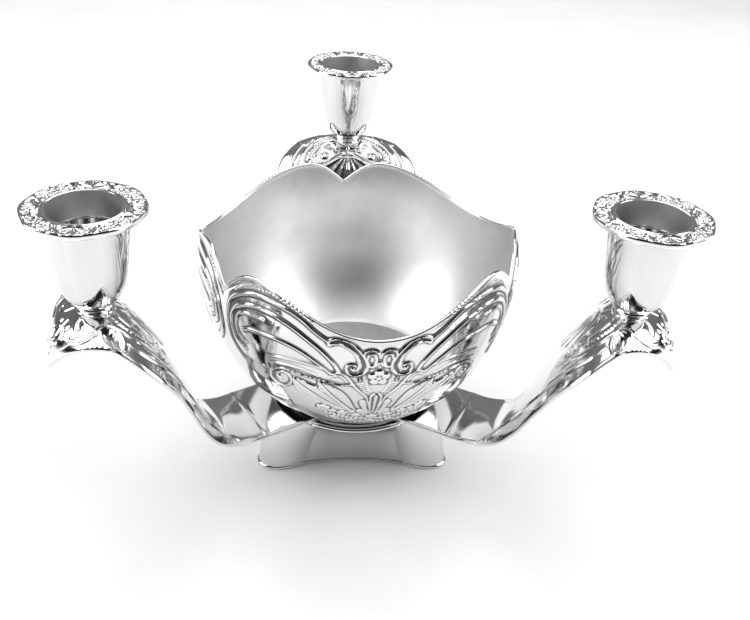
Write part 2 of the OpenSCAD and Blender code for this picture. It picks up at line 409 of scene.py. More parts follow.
class Graph:
    """The nodes of one material or world."""

    def __init__(self, tree: bpy.types.NodeTree):
        """Clears a node tree to build in."""
        self.tree = tree
        tree.nodes.clear()

    def node(self, kind: str, settings: dict | None = None, **sockets: object) -> bpy.types.Node:
        """Adds a node.

        Args:
            kind: the node's type, such as ShaderNodeTexNoise.
            settings: values of the node's own properties, set before its sockets.
            sockets: values or Terms for the inputs, spaces in their names written as underscores;
                in_0, in_1 and so on name inputs by place.

        Returns:
            The node.
        """
        made = self.tree.nodes.new(kind)
        for key, value in (settings or {}).items():
            setattr(made, key, value)
        for key, value in sockets.items():
            socket = made.inputs[int(key[3:])] if key.startswith("in_") else made.inputs[key.replace("_", " ")]
            if isinstance(value, Term):
                self.tree.links.new(value.socket, socket)
            else:
                socket.default_value = value
        return made

    def term(self, kind: str, output: int | str = 0, settings: dict | None = None, **sockets: object) -> "Term":
        """Adds a node and gives one of its outputs as a Term."""
        return Term(self, self.node(kind, settings, **sockets).outputs[output])

    def mix(self, factor: object, a: Sequence[float], b: object) -> "Term":
        """Mixes two colours."""
        return self.term("ShaderNodeMix", 2, {"data_type": "RGBA"}, in_0=factor, in_6=a, in_7=b)


def _operator(operation: str, swapped: bool = False) -> Callable[["Term", object], "Term"]:
    """Makes a method that joins a Term and a value by a Math node.

    Args:
        operation: the Math node's operation.
        swapped: whether the value comes first, as in 1 - mask.

    Returns:
        The method.
    """

    def join(self: "Term", other: object) -> "Term":
        """Joins the two by the Math node."""
        first, second = (other, self) if swapped else (self, other)
        return self.graph.term("ShaderNodeMath", 0, {"operation": operation}, in_0=first, in_1=second)

    return join


class Term:
    """A socket's value, to write sums with."""

    def __init__(self, graph: Graph, socket: bpy.types.NodeSocket):
        """Wraps an output socket of the graph."""
        self.graph = graph
        self.socket = socket

    __add__, __radd__ = _operator("ADD"), _operator("ADD", swapped=True)
    __sub__, __rsub__ = _operator("SUBTRACT"), _operator("SUBTRACT", swapped=True)
    __mul__, __rmul__ = _operator("MULTIPLY"), _operator("MULTIPLY", swapped=True)

    def band(self, low: float, high: float) -> "Term":
        """0 below low, 1 above high, and a smooth rise between."""
        return self.graph.term("ShaderNodeMapRange", 0, {"interpolation_type": "SMOOTHSTEP"},
                               Value=self, From_Min=low, From_Max=high)


@dataclass(frozen=True)
class Metal:
    """A metal finish, with its grain, marks and the dark left in its hollows."""

    name: str
    tint: tuple[float, float, float]
    rough: float
    rough_spread: float
    grain: float
    grain_size: float
    tarnish: float = 0.0
    cloud: float = 0.04
    wave: float = 0.0

    def material(self) -> bpy.types.Material:
        """Makes the finish as a material.

        Returns:
            The material.
        """
        made = bpy.data.materials.new(self.name)
        made.use_nodes = True
        g = Graph(made.node_tree)
        place = g.term("ShaderNodeTexCoord", "Object")
        cloud = g.term("ShaderNodeTexNoise", "Fac", Vector=place, Scale=60.0, Detail=4.0, Roughness=0.6)
        fine = g.term("ShaderNodeTexNoise", "Fac", Vector=place, Scale=1 / (self.grain_size * MM), Detail=3.0)
        hollow = g.term("ShaderNodeAttribute", "Fac", {"attribute_name": "cavity"})
        dark = hollow.band(0.12, 0.85) * self.tarnish
        shade = dark + cloud.band(0.35, 0.75) * self.cloud
        deep = tuple(0.06 * c for c in self.tint) + (1.0,)
        colour = g.mix(shade, self.tint + (1.0,), deep)
        rough = self.rough + cloud.band(0.3, 0.7) * self.rough_spread + dark * 0.35
        bump = g.term("ShaderNodeBump", "Normal", Strength=1.0, Distance=self.grain * MM, Height=fine)
        if self.wave:
            slow = g.term("ShaderNodeTexNoise", "Fac", Vector=place, Scale=90.0, Detail=1.0)
            bump = g.term("ShaderNodeBump", "Normal", Strength=1.0, Distance=self.wave * MM, Height=slow, Normal=bump)
        shader = g.node("ShaderNodeBsdfPrincipled", Base_Color=colour, Metallic=1.0, Roughness=rough, Normal=bump)
        g.node("ShaderNodeOutputMaterial", Surface=Term(g, shader.outputs[0]))
        return made


SILVER = (0.74, 0.74, 0.74)
POLISHED = Metal("silver_polished", SILVER, 0.045, 0.05, 0.002, 0.35, tarnish=0.0, cloud=0.05, wave=0.02)
CHASED = Metal("silver_chased", (0.8, 0.8, 0.8), 0.06, 0.05, 0.004, 0.3, tarnish=0.85, cloud=0.04, wave=0.02)
LEAF = Metal("silver_leaf", (0.76, 0.76, 0.76), 0.06, 0.06, 0.004, 0.3, tarnish=0.65, cloud=0.05, wave=0.02)
BORDER = Metal("silver_border", (0.84, 0.84, 0.84), 0.08, 0.06, 0.004, 0.3, tarnish=0.75, cloud=0.03)
SATIN = Metal("silver_satin", (0.82, 0.82, 0.82), 0.36, 0.06, 0.014, 0.16, tarnish=0.5, cloud=0.1)
FLOOR = Metal("silver_floor", (0.5, 0.5, 0.5), 0.34, 0.08, 0.012, 0.2, cloud=0.25)
# Matt silver for the inside of the foot: the roughness is an unpolished finish, and the dark tint is painted shade.
MATT_PAINTED_SHADE = Metal("silver_matt_painted_shade", (0.42, 0.42, 0.42), 0.42, 0.08, 0.012, 0.2, cloud=0.15)
STEEL = Metal("plain_steel", (0.55, 0.55, 0.57), 0.3, 0.1, 0.008, 0.25, cloud=0.15)


# ---------------------------------------------------------------- the bowl


@dataclass
class BowlChasing:
    """The butterfly wings, scrolls, flower and garland of a bowl panel.

    The first coordinate runs along the panel from its middle and the second up it from the foot
    of the bowl. Only the right half is drawn: the panel reads it on both sides.
    """

    line: float = 0.75
    high: float = 0.6

    def make(self) -> Relief:
        """Chases one half panel.

        Returns:
            The relief of half a panel.
        """
        work = Relief((-1, 8), (64, 76))
        self.wings(work)
        self.leaves(work)
        self.scrolls(work)
        self.flower(work)
        self.palmette(work)
        self.garland(work)
        work.settle()
        return work

    def wings(self, work: Relief) -> None:
        """Nested ribs that sweep up from the scrolls, over the shoulder and back in at the side.

        Args:
            work: the blank being chased.
        """
        first = [(16.6, 60.2), (20.5, 62.5), (25, 65.6), (30, 67.7), (37, 68.8), (43.5, 68.6), (49, 67), (54, 64),
                 (57, 60.5), (58.3, 56), (58.4, 51.5), (57.5, 47.5), (55, 44), (52, 41.2), (49, 39.2)]
        second = [(12.8, 48.4), (14.3, 51.3), (16.2, 53.6), (18.9, 56.3), (22.5, 58.9), (26.8, 61.5), (31.5, 63.5),
                  (37, 64.7), (43, 64.7), (48.5, 63.4), (53, 60.6), (55.6, 56.5), (55.8, 52.5), (54.2, 49),
                  (51.2, 46.6), (48.5, 45.7)]
        hook = [(40, 61.4), (45, 61.2), (49.4, 60.2), (52.3, 57.6), (53, 54), (51.6, 50.8), (48, 48.9)]
        third = [(15.5, 47.3), (18.5, 50), (22, 52.4), (25.7, 54.4), (30, 55.7), (35, 56.2), (41, 56), (46, 55.2),
                 (49.5, 53.4)]
        fourth = [(13.4, 46.6), (17, 48.6), (21.5, 49.7), (25.5, 49.9), (31, 49.5), (38, 48.2)]
        fifth = [(19.5, 45.2), (24, 46.7), (30, 46.9), (37, 45.4)]
        for points, width in ((first, 1.9), (second, 1.9), (third, 1.6), (hook, 1.5)):
            work.stroke(points, 0.6 * width, self.high * width / 1.9, end_width=width)
        work.strokes([(fourth, self.line, 0.35, 1.3), (fifth, self.line, 0.35, 1.3)])
        work.beads([(22, 65.9), (27, 68.7), (32, 70.3), (38, 71.1), (44, 71), (49.5, 69.2), (54, 66.3)],
                   0.5, 0.3, 1.5)

    def leaves(self, work: Relief) -> None:
        """Two long leaves that overlap, and the band and volute above them.

        Args:
            work: the blank being chased.
        """
        outer = [(7.5, 27.2), (12, 33), (17.5, 38.6), (22.5, 40.8), (27.8, 41.7), (27, 37.2), (24.3, 34), (20.5, 32),
                 (15.5, 30.4), (10.5, 28.6)]
        inner = [(6.3, 27), (7.5, 31), (9, 35), (11, 38.2), (14, 40.6), (18.7, 43), (18.9, 40.4), (17, 36.8),
                 (13.6, 33.2), (9.8, 29.6)]
        for outline, vein in ((outer, [(27.4, 41.2), (21, 36.8), (14, 31.6), (8, 27.6)]),
                              (inner, [(18.4, 42.4), (14.4, 37.4), (10, 32), (6.6, 27.4)])):
            work.petal(outline, 0.55, 2.2, 0.5, 0.68)
            work.stroke(vein, 0.7, 0.3, mark=Mark.GROOVE)
        volute = [(8.1, 43.3), (9.2, 42.9), (12, 42.6), (15.4, 43.4), (18.6, 43.8), (23.4, 44.1), (27.9, 44.7),
                  (32.2, 44.6), (35.4, 43), (37, 40.3), (36.6, 37.3), (34.3, 35.4), (31.8, 35.2), (29.7, 36.9),
                  (28.8, 39.3), (29.4, 41.9), (31.4, 43), (33.4, 42.2), (34.4, 40.3), (33.4, 38.7)]
        work.stroke(volute, self.line, 0.5, end_width=1.2)
        work.bead(33, 39, 0.9, 0.5)

    def scrolls(self, work: Relief) -> None:
        """The C-scroll with curled ends, and the interlaced loops in the middle.

        Args:
            work: the blank being chased.
        """
        outer = [(16.6, 58.9), (16.4, 60.6), (13.8, 61.5), (10.6, 61), (8.2, 59.4), (6.2, 57), (4.9, 54.9),
                 (3.9, 52.4), (4, 50.2), (5.3, 48.5), (7.5, 47.7), (9.9, 48.4), (10.6, 50.3), (10.1, 51.8),
                 (8.7, 52.4), (7.7, 51.6)]
        inner = [(15.6, 59.5), (13.2, 59.9), (10.8, 59.1), (8.4, 57.2), (7, 54.6), (6.6, 51.9), (7.2, 50.1),
                 (8.5, 49.7)]
        work.stroke([(13, 60.7), (9.6, 59.3), (6.6, 55.6), (5.2, 51.8), (6, 49.2)], 1.3, 0.25, mark=Mark.GROOVE)
        for x, y, radius in ((16.2, 59.3, 0.9), (8.6, 50.4, 0.7)):
            work.bead(x, y, radius, self.high)
        work.stroke(ring(2.7, 54.3, 1.5, 2.4), 0.7, 0.5, closed=True)
        work.strokes([
            (outer, 0.9, self.high, 0.8),
            (inner, 0.8, 0.5),
            ([(0, 55.2), (0.7, 57), (2.3, 58.2), (4.3, 57.9), (5.3, 56.4), (4.7, 55)], self.line, 0.55),
            ([(0, 53.5), (1, 52.3), (2.4, 51.4), (3.5, 51.8)], self.line, 0.5),
            ([(15.4, 47.1), (12.9, 48.3), (10.9, 47.3), (9.3, 45.3), (8.2, 43.4)], self.line, 0.55),
            ([(15.6, 45.8), (13, 46.9), (11.2, 46), (9.9, 44.2)], self.line, 0.4),
        ])

    def flower(self, work: Relief) -> None:
        """The five-petalled flower, the ladder bands beside it and the stems below.

        Args:
            work: the blank being chased.
        """
        work.blossom(0, 46.8, 3.5, 5, 0.75)
        for x, y in ((4.8, 45.5), (4.9, 46.6)):
            work.stroke([(x, y), (x + 2.5, y - 0.3)], 0.6, 0.45)
        rungs = 6
        for k in range(rungs):
            share = k / (rungs - 1)
            x, y = 6.1 - 2.4 * share, 43.9 - 4.4 * share
            work.stroke([(x - 1.4, y + 0.25), (x + 0.3, y - 0.45)], 0.5, 0.4)
        work.strokes([
            ([(8, 43.4), (7.2, 41.8), (5, 39.1), (3.2, 36.4), (2.3, 33), (1.5, 29), (0.9, 25)], self.line, 0.55, 0.5),
            ([(3.9, 44), (3, 41.6), (1.8, 39.4)], 0.5, 0.35),
        ])

    def palmette(self, work: Relief) -> None:
        """The upright palmette at the foot of the stems.

        Args:
            work: the blank being chased.
        """
        work.stroke([(0.7, 25), (1.3, 29), (1.6, 33), (1.75, 36.2), (1.1, 38.1), (0, 38.7)], 0.7, 0.6)
        work.stroke([(0, 26), (0, 36.6)], 0.6, 0.4, end_width=1.2)
        for outline in ([(1.5, 26), (2.6, 29.5), (3, 32.3), (3.6, 34.3), (4.7, 34.2), (4.9, 32.9), (4.1, 30.5),
                         (2.9, 27.6)],
                        [(2, 25.4), (3.3, 27.8), (4.9, 28.1), (5.4, 26.9), (4.3, 25.4), (2.4, 24.6)]):
            work.petal(outline, 0.45, 0.9, 0.5, 0.6)

    def garland(self, work: Relief) -> None:
        """The beaded garland of small flowers round the foot of the bowl.

        Args:
            work: the blank being chased.
        """
        work.blossom(16.8, 27, 2.4, 6, 0.7)
        for x, y, radius in ((10.2, 24.6, 1.9), (13.6, 25.4, 1.5), (5.4, 23.2, 1.6), (12.4, 19.2, 1.7),
                             (6.8, 17.2, 1.6)):
            work.blossom(x, y, radius, 5, 0.55)
        work.beads([(15.6, 23.6), (12.2, 22.2), (9.2, 21), (6, 20.2), (3, 19.8), (0.9, 19.7)], 0.75, 0.55, 1.6)
        work.beads([(14.6, 17.8), (10.4, 16), (6, 14.8), (1.4, 14.4)], 0.6, 0.45, 1.5)
        work.blossom(0, 21.8, 2, 6, 0.55)
        work.blossom(0, 16.6, 1.7, 5, 0.5)


@dataclass
class Bowl:
    """The three-panel bowl: chased outside, satin inside, with a crease under each rim notch."""

    turn: float = 3.5
    wide_r: float = 58.5
    wide_z: float = 81.0
    depth: float = 61.4
    lean: float = 0.04
    crease: float = 0.04
    low_z: float = 30.3
    rim_mid: float = 83.0
    rim_peak: float = 95.0
    rim_notch: float = 86.5
    shoulder: float = 45.0
    wall: float = 1.0
    hole_r: float = 3.1
    columns: int = 361
    rows: int = 200
    inner_rows: int = 41

    def rim_z(self, fold: np.ndarray) -> np.ndarray:
        """Height of the rim at an angle from the nearest notch.

        Args:
            fold: the angle, in degrees.

        Returns:
            The rim's height there.
        """
        side = 60 - fold
        shoulder_rise = np.sin(np.radians(90 * np.minimum(side, self.shoulder) / self.shoulder)) ** 2.1
        notch_rise = np.sin(np.radians(90 * fold / (60 - self.shoulder)))
        return np.where(side < self.shoulder, self.rim_mid + (self.rim_peak - self.rim_mid) * shoulder_rise,
                        self.rim_notch + (self.rim_peak - self.rim_notch) * notch_rise)

    def radius(self, fold: np.ndarray, z: np.ndarray, inset: float = 0.0) -> np.ndarray:
        """Distance of the wall from the axis.

        Args:
            fold: the angle from the nearest notch.
            z: the height.
            inset: how far inside the outer face.

        Returns:
            The distances.
        """
        up = np.maximum(0, z - self.wide_z) / (self.rim_peak - self.wide_z)
        down = np.clip((self.wide_z - z) / (self.depth - inset), 0, 0.999)
        pinch = self.crease * (1 - np.sin(np.radians(1.5 * fold))) * np.clip((z - self.low_z) / 30, 0, 1)
        return ((self.wide_r - inset) * np.sqrt(1 - down**2) - self.lean * self.wide_r * up**2) * (1 - pinch)

    def face(self, angles: np.ndarray, lift: np.ndarray, inset: float, soft: float) -> np.ndarray:
        """Points of one face of the wall, a row for each share of the way up.

        Args:
            angles: the angles from the panel's middle.
            lift: the shares, 0 at the foot and 1 at the rim.
            inset: how far inside the outer face.
            soft: the angle over which the crease is rounded.

        Returns:
            A grid of points, before the panel is turned to its place.
        """
        fold = 60 - np.abs(angles)
        z = self.low_z + inset + (self.rim_z(fold) - self.low_z - inset) * lift[:, None]
        r = self.radius(np.hypot(fold, soft)[None, :], z, inset)
        a = np.radians(angles)[None, :]
        return np.stack([r * np.cos(a), r * np.sin(a), z], -1)

    def panel(self, name: str, middle: float, work: Relief, finishes: Sequence[bpy.types.Material]) -> bpy.types.Object:
        """Makes one panel, from the stud hole to the rim and down inside.

        Args:
            name: the object's name.
            middle: the azimuth of the panel's middle.
            work: the chasing of half a panel.
            finishes: the outside's and the inside's material.

        Returns:
            The panel.
        """
        angles = np.linspace(-60, 60, self.columns)
        share = np.linspace(0, 1, self.rows)
        outside = self.face(angles, share, 0, 0.6)
        heights = np.linspace(self.low_z, self.rim_peak, 800)
        middle_r = self.radius(np.array(60.0), heights)
        run = np.concatenate([[0], np.cumsum(np.hypot(np.diff(heights), np.diff(middle_r)))])
        up = np.interp(outside[..., 2], heights, run)
        across = np.radians(angles)[None, :] * np.interp(outside[..., 2], heights, middle_r)
        raised, cavity = work.read(np.abs(across), up)
        below = self.rim_z(60 - np.abs(angles))[None, :] - outside[..., 2]
        raised = raised + 0.45 * np.exp(-((below / 0.9) ** 2)) - 0.15 * np.exp(-(((below - 2.2) / 0.7) ** 2))
        outside = outside + surface_normals(outside) * raised[..., None]
        inside = self.face(angles, np.linspace(1, 0, self.inner_rows), self.wall, 8.0)
        rim_out, rim_in = outside[-1], inside[0]
        half = (rim_out - rim_in) / 2
        size = np.linalg.norm(half, axis=-1, keepdims=True)
        steps = np.radians(np.linspace(0, 180, 8)[1:-1])[:, None, None]
        lip = (rim_out + rim_in) / 2 + half * np.cos(steps) + np.array([0, 0, 1]) * size * np.sin(steps)
        foot_out = self.floor_rows(outside[0], self.low_z)[::-1]
        foot_in = self.floor_rows(inside[-1], self.low_z + self.wall)
        grid = np.concatenate([foot_out, outside, lip, inside, foot_in])
        dark = np.zeros(grid.shape[:2])
        dark[len(foot_out):len(foot_out) + self.rows] = cavity
        rows, cols = grid.shape[:2]
        quads = grid_faces(rows, cols, wrap=False)
        row_of = quads[:, 0] // cols
        finish = (row_of >= len(foot_out) + self.rows + 4).astype(int)
        bottom = [(rows - 1) * cols + j for j in range(cols)]
        close = np.array([[j, bottom[j], bottom[j + 1], j + 1] for j in range(cols - 1)])
        ends = [list(range(0, rows * cols, cols))[::-1], list(range(cols - 1, rows * cols, cols))]
        faces = [f.tolist() for f in np.concatenate([quads, close])] + ends
        finish = np.concatenate([finish, np.zeros(len(close) + 2, int)])
        points = spun(grid.reshape(-1, 3), middle + self.turn)
        thing = make_mesh(name, points, faces, finishes, finish, dark.reshape(-1))
        soften_normals(thing, 55)
        return thing

    def floor_rows(self, edge: np.ndarray, z: float) -> np.ndarray:
        """Rows of the flat bottom, from the wall in to the stud hole.

        Args:
            edge: the points that the ring starts from.
            z: the height of the ring.

        Returns:
            The rows of points.
        """
        reach = np.hypot(edge[:, 0], edge[:, 1])[:, None]
        way = np.stack([edge[:, 0], edge[:, 1]], -1) / reach
        radii = [reach + (self.hole_r - reach) * t for t in (0.03, 0.35, 0.7, 1.0)]
        return np.stack([np.concatenate([way * r, np.full((len(edge), 1), z)], -1) for r in radii])

    def build(self, outside: bpy.types.Material, inside: bpy.types.Material) -> list[bpy.types.Object]:
        """Builds and dresses the bowl's panels.

        Args:
            outside: the polished finish.
            inside: the satin finish.

        Returns:
            The panels.
        """
        work = BowlChasing().make()
        made = []
        for name, middle in PANELS.items():
            panel = self.panel(f"bowl_panel_{name}", middle, work, [outside, inside])
            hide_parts("bowl")
            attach(panel, "bowl")
            made.append(panel)
        return made


# ---------------------------------------------------------------- the arms


@dataclass
class LeafChasing:
    """Scrollwork of a leaf arm, as distance from its spine and distance up it from the bend.

    Only one half is drawn: the leaf reads it on both sides.
    """

    line: float = 0.8
    high: float = 0.5
    flatter: float = 0.62

    def make(self) -> Relief:
        """Chases half a leaf.

        Returns:
            The relief of half a leaf.
        """
        work = Relief((-1, -4), (34, 116))
        self.margin(work)
        self.scrolls(work)
        self.fan(work)
        self.shield(work)
        work.stroke([(0, 0), (15, 0)], 1.0, 0.3, mark=Mark.GROOVE)
        work.settle(depth=0.3)
        work.height *= self.flatter
        return work

    def margin(self, work: Relief) -> None:
        """The rib that leaves the strap's edge in a hook and follows the leaf's edge.

        Args:
            work: the blank being chased.
        """
        work.strokes([
            ([(14.6, 12.4), (11.8, 14.6), (9.8, 17.8), (9.3, 21.5), (10.4, 26.5), (13, 32), (16.8, 40), (20.8, 48.5),
              (23.6, 55.5), (25.2, 62), (25.4, 68), (24.6, 74), (22.8, 79), (20.2, 83.2)], 1.3, 0.6, 1.1),
            ([(22.4, 56.4), (23.3, 62.5), (23.2, 68), (22.2, 73.4), (20.4, 77.8)], 0.7, 0.4),
            ([(20.6, 90.6), (17.8, 94.4), (14.4, 98.4), (10.8, 102.6), (7.4, 106.4)], 0.7, 0.35),
        ])
        work.beads([(17.4, 93), (14.4, 96.6), (13, 98.6)], 0.55, 0.4, 1.7)

    def scrolls(self, work: Relief) -> None:
        """Nested C-scrolls, one of them beaded, and the ear beside them.

        Args:
            work: the blank being chased.
        """
        work.stroke([(7.6, 87.2), (12.6, 85.2), (17, 81.6), (19.4, 77.6), (20.2, 73), (18.8, 69.8), (16.2, 69.4),
                     (15, 71.4), (16, 73.2)], 1.1, self.high, end_width=0.9)
        work.beads([(7, 84.8), (11.2, 83.2), (14.8, 80), (16.9, 76.8), (17.5, 73.6)], 0.75, 0.5, 1.55)
        work.stroke([(5.4, 82.6), (9.4, 81.3), (12.6, 78.8), (14.6, 75.8)], self.line, 0.45)
        ear = [(12, 86.6), (12.6, 89.6), (15.4, 91.4), (19, 91), (21.6, 88.6), (22, 86), (19.6, 84.6), (15.6, 84.6)]
        work.petal(ear, 0.4, 2.5, 0.7, 0.55)
        work.strokes([([(14.4, 86.2), (16, 88.6), (18.8, 89.4)], 0.6, 0.3),
                      ([(17, 85.6), (18.2, 87.2), (20.4, 87.8)], 0.6, 0.3)], Mark.GROOVE)
        work.bead(16.1, 72.9, 0.8, 0.5)

    def fan(self, work: Relief) -> None:
        """The vein below the cup, the fan of rays under it and the small flowers beside it.

        Args:
            work: the blank being chased.
        """
        work.stroke([(0, 88), (0, 76.5)], 1.0, 0.5, end_width=1.4)
        work.stroke([(0.3, 87), (2.4, 84), (6, 82.6)], self.line, 0.45)
        for tip_x, tip_y in ((0, 59), (4.9, 60.6), (9.2, 64.4), (12.6, 68.8)):
            start_x = 0.16 * tip_x
            bend = (0.5 * tip_x, 0.55 * 75 + 0.45 * tip_y + 0.6)
            work.stroke([(start_x, 75.2), bend, (tip_x, tip_y)], 0.8, 0.55, end_width=2.1)
            work.stroke([bend, (0.93 * tip_x, tip_y + 0.5)], 0.5, 0.3, mark=Mark.GROOVE)
        for x, y, radius in ((4.9, 78.6, 1.7), (10.4, 75.6, 1.5), (15.2, 66.2, 1.3)):
            work.blossom(x, y, radius, 5, 0.5)
        work.stroke([(2.6, 77.2), (6.2, 75.2), (9.2, 72.4)], 0.7, 0.4)

    def shield(self, work: Relief) -> None:
        """The shield outline beyond the cup, with its small scrolls and dots.

        Args:
            work: the blank being chased.
        """
        work.strokes([
            ([(11.6, 88), (12.8, 92), (12.6, 95.6), (10.8, 98.7), (7.9, 100.5), (6.7, 102.4), (5, 104.5), (4, 106.8)],
             0.9, self.high, 0.8),
            ([(10.4, 89), (11.4, 92.3), (11.1, 95.2), (9.4, 97.6), (6.8, 99.2)], 0.6, 0.35),
            ([(3.2, 92.8), (4.8, 95.4), (7.2, 96.6), (8.3, 95.2), (7.2, 94.2)], self.line, 0.45),
            ([(0.8, 99.4), (2.6, 101.2), (2.2, 103.8), (0.6, 104.6)], self.line, 0.45),
            ([(0, 96.6), (0, 103)], 0.7, 0.35),
        ])
        for x, y in ((2.4, 98), (4.2, 101.3), (0, 107), (1.7, 106), (0, 109.2)):
            work.bead(x, y, 0.6, 0.45)


@dataclass
class Arm:
    """A leaf arm: a flat strap under the bowl that bends up into a broad leaf and droops to a point."""

    sheet: float = 1.3
    top_z: float = 27.3
    bend_r: float = 46.0
    strap: float = 14.7
    leaf: float = 31.0
    arch_power: float = 2.3
    hole_r: float = 5.0
    gap: float = 0.3
    columns: int = 141
    under_columns: int = 25
    strap_rows: int = 40
    leaf_rows: int = 270

    def stations(self) -> np.ndarray:
        """Distance from the axis, height, half width and arch along the spine.

        Returns:
            One row for each station.
        """
        s, w = self.strap, self.leaf
        return np.array([
            (46, 27.3, s, 0), (52.5, 27.9, s, 0.4), (58.5, 30, 15.2, 1), (63.5, 34.8, 16.8, 2), (67.3, 42, 19, 3),
            (70.5, 51, 0.73 * w, 4), (73.8, 61, 0.86 * w, 5), (78.3, 71.5, 0.97 * w, 5.5), (83.8, 80.3, w, 6),
            (90.3, 87, 0.91 * w, 6), (97.25, 89.8, 0.77 * w, 4.5), (103, 89, 19, 3.4), (108.2, 85.6, 14, 2.4),
            (112.2, 80, 7.5, 1.2), (114.6, 73, 1, 0),
        ])

    def leaf_spine(self) -> np.ndarray:
        """The spine's rows, evenly spaced, as distance run, radius, height, half width and arch.

        Returns:
            One row for each row of the leaf.
        """
        fine = smooth_path(self.stations(), step=0.05)
        run = np.concatenate([[0], np.cumsum(np.hypot(*np.diff(fine[:, :2], axis=0).T))])
        even = np.linspace(0, run[-1], self.leaf_rows)
        return np.stack([even] + [np.interp(even, run, fine[:, k]) for k in range(4)], -1)

    def top_face(self, v: np.ndarray) -> tuple[np.ndarray, np.ndarray, np.ndarray]:
        """The top face before it is chased.

        Args:
            v: places across the arm, -1 to 1.

        Returns:
            The grid of points, the distance up the spine of each and the unit normals.
        """
        spine = self.leaf_spine()
        slope = np.gradient(spine[:, 1:3], axis=0)
        normal = np.stack([-slope[:, 1], slope[:, 0]], -1) / np.linalg.norm(slope, axis=-1, keepdims=True)
        down = spine[:, 4:5] * np.abs(v)[None, :] ** self.arch_power
        leaf = np.stack([spine[:, 1:2] - normal[:, :1] * down, spine[:, 3:4] * v[None, :],
                         spine[:, 2:3] - normal[:, 1:] * down], -1)
        t = self.strap * v
        root = np.maximum(np.abs(t) / math.tan(math.radians(60)) + self.gap,
                          np.sqrt(np.maximum(0, self.hole_r**2 - t**2)))
        share = np.linspace(0, 1, self.strap_rows, endpoint=False)[:, None]
        r = root + (self.bend_r - root) * share
        strap = np.stack([r, np.broadcast_to(t, r.shape), np.full(r.shape, self.top_z)], -1)
        grid = np.concatenate([strap, leaf])
        up = np.concatenate([r - self.bend_r, np.broadcast_to(spine[:, :1], leaf.shape[:2])])
        return grid, up, -surface_normals(grid)

    def build_one(self, name: str, azimuth: float, work: Relief, finish: bpy.types.Material) -> bpy.types.Object:
        """Builds one arm.

        Args:
            name: the arm's place, as in its node's name.
            azimuth: the way it points.
            work: the chasing of half a leaf.
            finish: its material.

        Returns:
            The arm.
        """
        v = np.linspace(-1, 1, self.columns)
        top, up, normal = self.top_face(v)
        raised, cavity = work.read(np.abs(top[..., 1]), up)
        edge = (1 - np.abs(v))[None, :] * np.abs(top[:, :1, 1] - top[:, -1:, 1]) / 2
        raised = raised * np.clip(edge / 1.2, 0, 1) - 0.3 * np.exp(-((edge / 0.5) ** 2))
        chased = top + normal * raised[..., None]
        pick = np.linspace(self.columns - 1, 0, self.under_columns).astype(int)
        under = (top - normal * self.sheet)[:, pick]
        sides = []
        for corner, other in ((-1, 0), (0, -1)):
            a, b = (chased[:, -1], under[:, 0]) if corner == -1 else (under[:, -1], chased[:, 0])
            middle, half = (a + b) / 2, (a - b) / 2
            out = top[:, corner] - top[:, corner - 1 if corner == -1 else 1]
            out = out / np.maximum(np.linalg.norm(out, axis=-1, keepdims=True), 1e-9)
            size = np.linalg.norm(half, axis=-1, keepdims=True)
            bend = np.radians([35, 90, 145])[:, None, None]
            sides.append(np.moveaxis(middle + half * np.cos(bend) + 0.45 * out * size * np.sin(bend), 0, 1))
        grid = np.concatenate([chased, sides[0], under, sides[1]], 1)
        rows, cols = grid.shape[:2]
        dark = np.zeros((rows, cols))
        dark[:, :self.columns] = cavity
        faces = grid_faces(rows, cols)[:, ::-1].tolist()
        faces.append(list(range(cols)))
        faces.append(list(range((rows - 1) * cols, rows * cols))[::-1])
        arm = make_mesh(f"leaf_{name}", spun(grid.reshape(-1, 3), azimuth), faces, [finish], None, dark.reshape(-1))
        soften_normals(arm, 60)
        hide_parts(f"arm_{name}")
        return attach(arm, "stand")

    def build(self, finish: bpy.types.Material) -> list[bpy.types.Object]:
        """Builds and dresses the arms."""
        work = LeafChasing().make()
        return [self.build_one(name, azimuth, work, finish) for name, azimuth in ARMS.items()]


# ---------------------------------------------------------------- the foot


